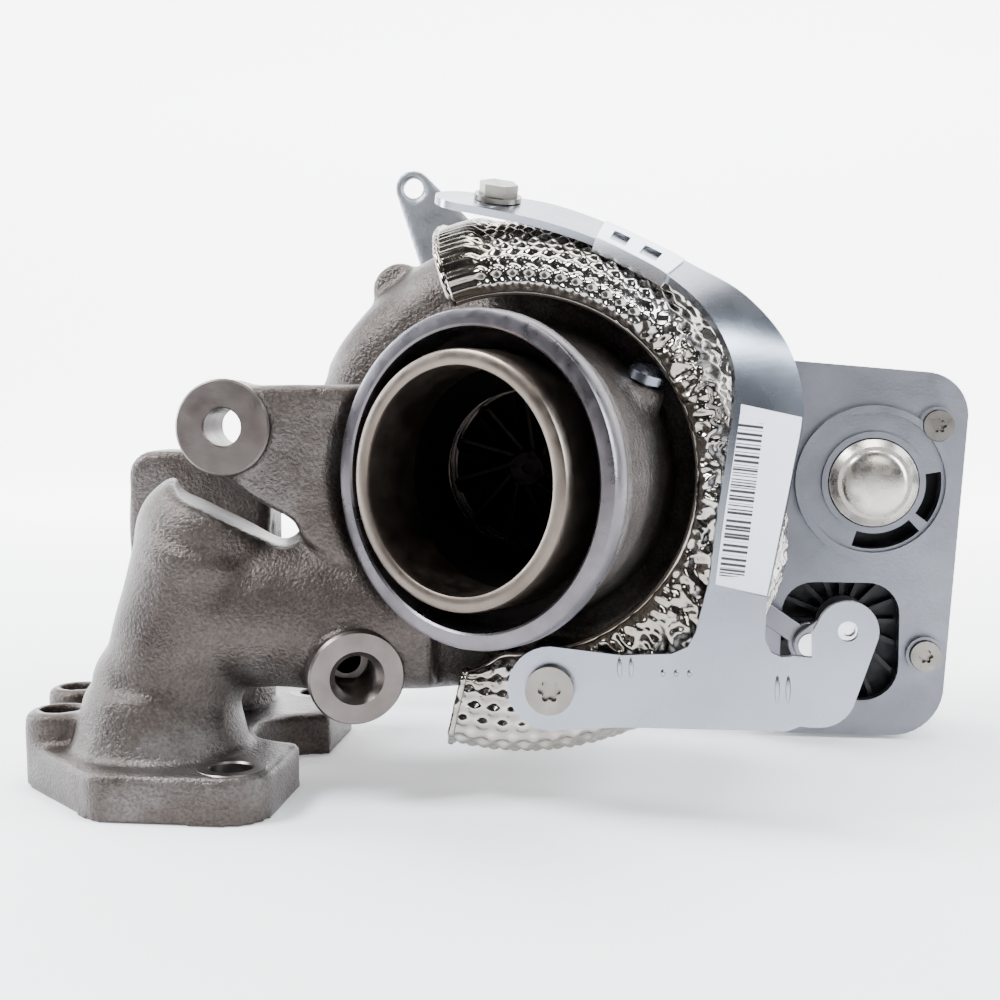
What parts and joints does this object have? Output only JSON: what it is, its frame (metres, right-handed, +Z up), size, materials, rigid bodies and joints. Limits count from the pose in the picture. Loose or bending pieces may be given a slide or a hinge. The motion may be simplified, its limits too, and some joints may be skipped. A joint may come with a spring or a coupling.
{
  "type": "turbocharger",
  "caption": "Variable-geometry turbocharger with a cast-in exhaust manifold, embossed heat shield and electric vane actuator.",
  "frame": {"origin": "centre of the front exhaust port in the manifold's gasket face", "axes": "+X towards the actuator, +Y along the rotor from turbine to compressor, +Z up off the gasket face"},
  "size_m": [0.2679, 0.2027, 0.1746],
  "materials": {
    "cast_iron": "rough sand cast, with machined faces",
    "bearing_casting": "rough cast",
    "cast_aluminium": "fine cast",
    "milled_aluminium": "milled",
    "actuator_aluminium": "die cast, blasted",
    "clamp_steel": "rolled",
    "plated_steel": "zinc plated",
    "hot_steel": "heat tinted",
    "turbine_alloy": "investment cast",
    "ground_steel": "ground",
    "bronze": "turned",
    "seal_rubber": "matt",
    "linkage_steel": "stamped",
    "gear_plastic": "moulded",
    "motor_steel": "drawn",
    "black_plastic": "glass filled, moulded",
    "shield_sheet": "embossed bright sheet",
    "strap_steel": "satin rolled sheet",
    "stud_steel": "satin",
    "clip_steel": "bright spring sheet",
    "label_paper": "coated film"
  },
  "bodies": {
    "housing": {"turbine_housing": "cast_iron", "bearing_housing": "bearing_casting", "compressor_housing": "cast_aluminium", "compressor_backplate": "cast_aluminium", "v_clamp": "clamp_steel", "v_clamp_bolt": "plated_steel", "nozzle_ring": "hot_steel", "nozzle_front_wall": "hot_steel", "nozzle_spacers": "hot_steel", "ring_guides": "hot_steel", "inner_heat_shield": "hot_steel", "thrust_bearing": "bronze", "journal_bearing": "bronze", "bearing_pin": "ground_steel", "turbine_piston_ring": "ground_steel", "compressor_piston_ring": "ground_steel", "backplate_o_ring": "seal_rubber", "housing_screws": "plated_steel", "crank_bush": "hot_steel", "output_bush": "bronze", "middle_gear_axle": "ground_steel", "motor_can": "motor_steel", "actuator_housing": "actuator_aluminium", "gear_plate": "black_plastic", "gear_cover": "black_plastic", "cover_screws": "plated_steel", "actuator_bolts": "plated_steel", "heat_shield": "shield_sheet", "shield_bracket": "strap_steel", "bracket_screw": "plated_steel", "strap_bolt": "plated_steel", "shield_stud": "stud_steel", "spring_clip": "clip_steel", "label": "label_paper"},
    "rotor": {"turbine_wheel_and_shaft": "turbine_alloy", "compressor_wheel": "milled_aluminium", "shaft_nut": "plated_steel", "thrust_collar": "ground_steel"},
    "actuator_output": {"output_shaft": "ground_steel", "actuator_crank": "linkage_steel", "crank_pin": "ground_steel", "sector_gear": "gear_plastic"},
    "vane_drive": {"vane_drive_crank": "hot_steel", "vane_lever": "linkage_steel", "lever_pin": "ground_steel"},
    "link": {"link_rod": "linkage_steel"},
    "unison": {"unison_ring": "hot_steel"},
    "middle_gear": {"middle_gear": "gear_plastic"},
    "motor": {"motor_pinion": "motor_steel"},
    "vane_body_1": {"vane_1": "hot_steel"},
    "vane_body_2": {"vane_2": "hot_steel"},
    "vane_body_3": {"vane_3": "hot_steel"},
    "vane_body_4": {"vane_4": "hot_steel"},
    "vane_body_5": {"vane_5": "hot_steel"},
    "vane_body_6": {"vane_6": "hot_steel"},
    "vane_body_7": {"vane_7": "hot_steel"},
    "vane_body_8": {"vane_8": "hot_steel"},
    "vane_body_9": {"vane_9": "hot_steel"},
    "vane_body_10": {"vane_10": "hot_steel"},
    "vane_body_11": {"vane_11": "hot_steel"}
  },
  "joints": [
    {"name": "rotor_spin", "type": "hinge", "parent": "housing", "child": "rotor", "pos_m": [0.095, 0.084, 0.084], "axis": [0, 1, 0], "continuous": true},
    {"name": "actuator_output", "type": "hinge", "parent": "housing", "child": "actuator_output", "pos_m": [0.187, 0.074, 0.035], "axis": [0, 1, 0], "range_deg": [-20, 20]},
    {"name": "vane_drive", "type": "hinge", "parent": "housing", "child": "vane_drive", "pos_m": [0.139, 0.064, 0.068], "axis": [0, 1, 0], "range_deg": [-20, 20]},
    {"name": "link_pivot", "type": "hinge", "parent": "actuator_output", "child": "link", "pos_m": [0.17612, 0.0736, 0.02993], "axis": [0, 1, 0], "range_deg": [-20, 20]},
    {"name": "unison_turn", "type": "hinge", "parent": "housing", "child": "unison", "pos_m": [0.095, 0.052, 0.084], "axis": [0, 1, 0], "range_deg": [-3.73, 3.73]},
    {"name": "middle_gear_turn", "type": "hinge", "parent": "housing", "child": "middle_gear", "pos_m": [0.18368, 0.104, 0.0618], "axis": [0, 1, 0], "range_deg": [-80, 80]},
    {"name": "motor_turn", "type": "hinge", "parent": "housing", "child": "motor", "pos_m": [0.1947, 0.094, 0.078], "axis": [0, 1, 0], "range_deg": [-293.34, 293.34]},
    {"name": "vane_turn_1", "type": "hinge", "parent": "housing", "child": "vane_body_1", "pos_m": [0.125, 0.049, 0.084], "axis": [0, 1, 0], "range_deg": [-17.79, 17.79]},
    {"name": "vane_turn_2", "type": "hinge", "parent": "housing", "child": "vane_body_2", "pos_m": [0.12024, 0.049, 0.10022], "axis": [0, 1, 0], "range_deg": [-17.79, 17.79]},
    {"name": "vane_turn_3", "type": "hinge", "parent": "housing", "child": "vane_body_3", "pos_m": [0.10746, 0.049, 0.11129], "axis": [0, 1, 0], "range_deg": [-17.79, 17.79]},
    {"name": "vane_turn_4", "type": "hinge", "parent": "housing", "child": "vane_body_4", "pos_m": [0.09073, 0.049, 0.1137], "axis": [0, 1, 0], "range_deg": [-17.79, 17.79]},
    {"name": "vane_turn_5", "type": "hinge", "parent": "housing", "child": "vane_body_5", "pos_m": [0.07535, 0.049, 0.10667], "axis": [0, 1, 0], "range_deg": [-17.79, 17.79]},
    {"name": "vane_turn_6", "type": "hinge", "parent": "housing", "child": "vane_body_6", "pos_m": [0.06621, 0.049, 0.09245], "axis": [0, 1, 0], "range_deg": [-17.79, 17.79]},
    {"name": "vane_turn_7", "type": "hinge", "parent": "housing", "child": "vane_body_7", "pos_m": [0.06621, 0.049, 0.07555], "axis": [0, 1, 0], "range_deg": [-17.79, 17.79]},
    {"name": "vane_turn_8", "type": "hinge", "parent": "housing", "child": "vane_body_8", "pos_m": [0.07535, 0.049, 0.06133], "axis": [0, 1, 0], "range_deg": [-17.79, 17.79]},
    {"name": "vane_turn_9", "type": "hinge", "parent": "housing", "child": "vane_body_9", "pos_m": [0.09073, 0.049, 0.0543], "axis": [0, 1, 0], "range_deg": [-17.79, 17.79]},
    {"name": "vane_turn_10", "type": "hinge", "parent": "housing", "child": "vane_body_10", "pos_m": [0.10746, 0.049, 0.05671], "axis": [0, 1, 0], "range_deg": [-17.79, 17.79]},
    {"name": "vane_turn_11", "type": "hinge", "parent": "housing", "child": "vane_body_11", "pos_m": [0.12024, 0.049, 0.06778], "axis": [0, 1, 0], "range_deg": [-17.79, 17.79]}
  ],
  "couplings": [
    {"joint": "vane_drive", "follows": "actuator_output", "ratio": 1},
    {"joint": "link_pivot", "follows": "actuator_output", "ratio": -1},
    {"joint": "unison_turn", "follows": "actuator_output", "ratio": -0.18607},
    {"joint": "middle_gear_turn", "follows": "actuator_output", "ratio": -4},
    {"joint": "motor_turn", "follows": "actuator_output", "ratio": 14.667},
    {"joint": "vane_turn_1", "follows": "actuator_output", "ratio": -0.88886},
    {"joint": "vane_turn_2", "follows": "actuator_output", "ratio": -0.88886},
    {"joint": "vane_turn_3", "follows": "actuator_output", "ratio": -0.88886},
    {"joint": "vane_turn_4", "follows": "actuator_output", "ratio": -0.88886},
    {"joint": "vane_turn_5", "follows": "actuator_output", "ratio": -0.88886},
    {"joint": "vane_turn_6", "follows": "actuator_output", "ratio": -0.88886},
    {"joint": "vane_turn_7", "follows": "actuator_output", "ratio": -0.88886},
    {"joint": "vane_turn_8", "follows": "actuator_output", "ratio": -0.88886},
    {"joint": "vane_turn_9", "follows": "actuator_output", "ratio": -0.88886},
    {"joint": "vane_turn_10", "follows": "actuator_output", "ratio": -0.88886},
    {"joint": "vane_turn_11", "follows": "actuator_output", "ratio": -0.88886}
  ]
}
